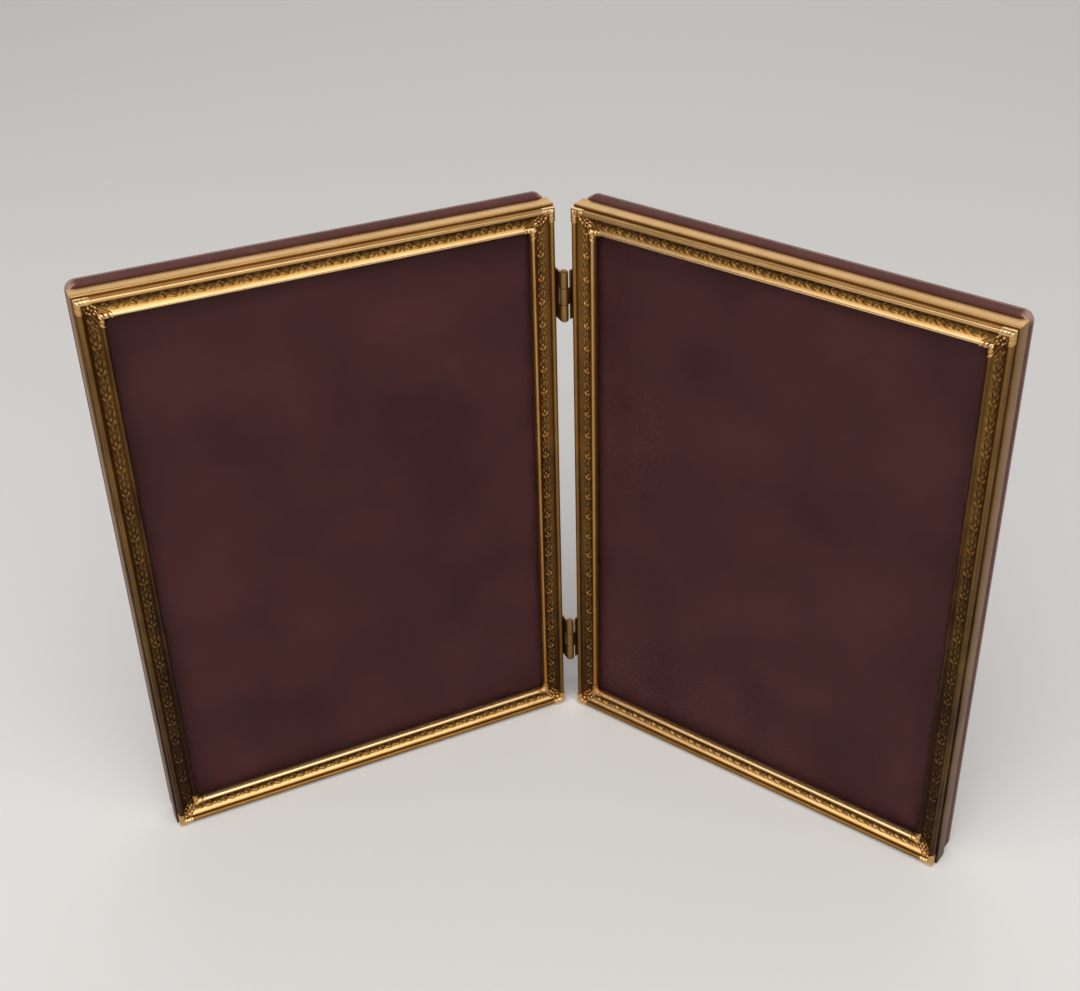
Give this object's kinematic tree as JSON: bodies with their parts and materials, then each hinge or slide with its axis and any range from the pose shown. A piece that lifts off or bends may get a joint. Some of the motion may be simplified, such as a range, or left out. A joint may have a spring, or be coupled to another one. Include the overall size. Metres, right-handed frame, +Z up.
{
  "type": "hinged double photo frame",
  "caption": "Book-style double photo frame: ornate stamped brass leaves joined by butt hinges, with glass panes and leatherette backs that push in from behind.",
  "frame": {"origin": "centre of the footprint's bounding box on the surface the frame stands on", "axes": "+X across the open pair from the left leaf to the right, -Y out of the fronts towards the viewer, +Z up"},
  "size_m": [0.2512, 0.0806, 0.1879],
  "materials": {
    "moulding_brass": "stamped sheet brass, antique gold with dark tarnish in the relief",
    "cap_brass": "stamped sheet brass, antique gold",
    "hinge_brass": "rolled brass, dulled",
    "pane_glass": "clear float glass",
    "maroon_leatherette": "maroon leatherette with a fine grain, lightly scuffed",
    "grey_board": "grey pasteboard"
  },
  "bodies": {
    "left_leaf": {"left_top_rail": "moulding_brass", "left_bottom_rail": "moulding_brass", "left_hinge_stile": "moulding_brass", "left_free_stile": "moulding_brass", "left_top_hinge_cap": "cap_brass", "left_bottom_hinge_cap": "cap_brass", "left_top_free_cap": "cap_brass", "left_bottom_free_cap": "cap_brass", "left_glass": "pane_glass", "upper_hinge_left_plate": "hinge_brass", "lower_hinge_left_plate": "hinge_brass", "upper_hinge_pin": "hinge_brass", "lower_hinge_pin": "hinge_brass"},
    "right_leaf": {"right_top_rail": "moulding_brass", "right_bottom_rail": "moulding_brass", "right_hinge_stile": "moulding_brass", "right_free_stile": "moulding_brass", "right_top_hinge_cap": "cap_brass", "right_bottom_hinge_cap": "cap_brass", "right_top_free_cap": "cap_brass", "right_bottom_free_cap": "cap_brass", "right_glass": "pane_glass", "upper_hinge_right_plate": "hinge_brass", "lower_hinge_right_plate": "hinge_brass"},
    "left_back": {"left_back_board": "grey_board", "left_back_covering": "maroon_leatherette", "left_filler_card": "grey_board", "left_card_lining": "maroon_leatherette"},
    "right_back": {"right_back_board": "grey_board", "right_back_covering": "maroon_leatherette", "right_filler_card": "grey_board", "right_card_lining": "maroon_leatherette"}
  },
  "joints": [
    {"name": "fold", "type": "hinge", "parent": "left_leaf", "child": "right_leaf", "pos_m": [0, 0.03024, 0], "axis": [0, 0, 1], "range_deg": [-118, 62]},
    {"name": "left_back_slide", "type": "slide", "parent": "left_leaf", "child": "left_back", "axis": [-0.515, 0.8572, 0], "range_m": [0, 0.012]},
    {"name": "right_back_slide", "type": "slide", "parent": "right_leaf", "child": "right_back", "axis": [0.515, 0.8572, 0], "range_m": [0, 0.012]}
  ]
}
